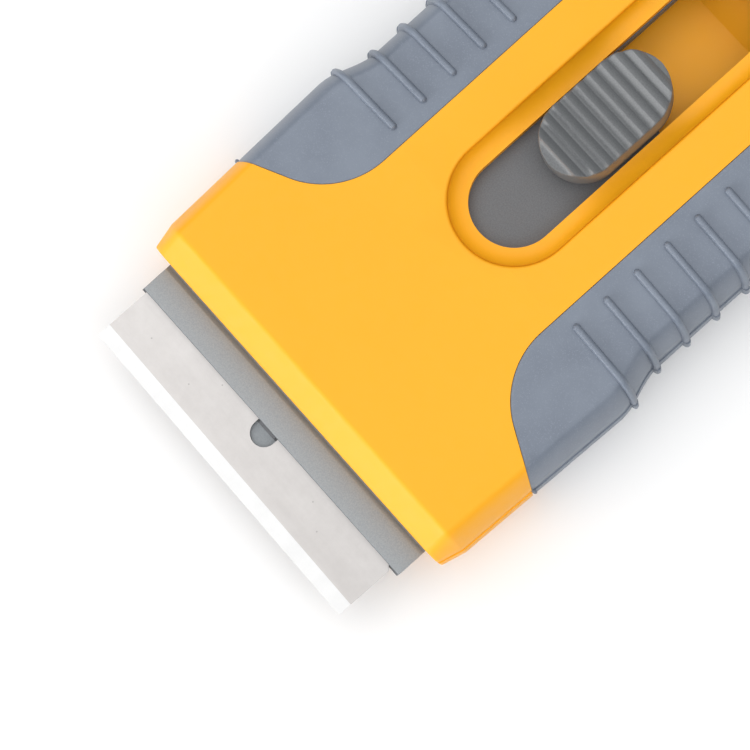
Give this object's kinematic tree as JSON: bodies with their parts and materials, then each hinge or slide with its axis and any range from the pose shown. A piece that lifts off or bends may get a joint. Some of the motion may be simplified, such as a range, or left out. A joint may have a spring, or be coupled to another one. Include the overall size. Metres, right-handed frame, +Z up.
{
  "type": "razor blade scraper",
  "caption": "Flat hand scraper with a retractable single-edge blade, a split plastic housing with ribbed soft side grips, a sliding blade carrier and a spring-locked thumb button.",
  "frame": {"origin": "middle of the scraper's footprint, cutting edge to tail, on the plane that it lies on", "axes": "+X to the right across the housing, +Y along it from the blade to the tail, +Z up to the thumb button"},
  "size_m": [0.0484, 0.1154, 0.015],
  "materials": {
    "housing_yellow": "satin moulded plastic with a fine grain",
    "grip_grey": "soft moulded elastomer with a faint fine sparkle",
    "carrier_grey": "plain moulded plastic",
    "blade_steel": "plain rolled steel with a bright ground edge",
    "fastener_steel": "plain steel"
  },
  "bodies": {
    "housing": {"top_shell": "housing_yellow", "bottom_shell": "housing_yellow", "left_grip_upper": "grip_grey", "right_grip_upper": "grip_grey", "left_grip_lower": "grip_grey", "right_grip_lower": "grip_grey", "housing_screws": "fastener_steel"},
    "carrier": {"blade_carrier": "carrier_grey", "blade_clamp": "carrier_grey", "razor_blade": "blade_steel", "lock_spring": "fastener_steel"},
    "button": {"thumb_button": "carrier_grey"}
  },
  "joints": [
    {"name": "carrier_slide", "type": "slide", "parent": "housing", "child": "carrier", "axis": [0, 1, 0], "range_m": [-0.0092, 0.01185], "deforming": ["lock_spring"]},
    {"name": "button_press", "type": "slide", "parent": "carrier", "child": "button", "axis": [0, 0, -1], "range_m": [0, 0.0012], "stiffness_N_per_m": 800, "springref_m": -0.0006, "deforming": ["lock_spring"]}
  ]
}
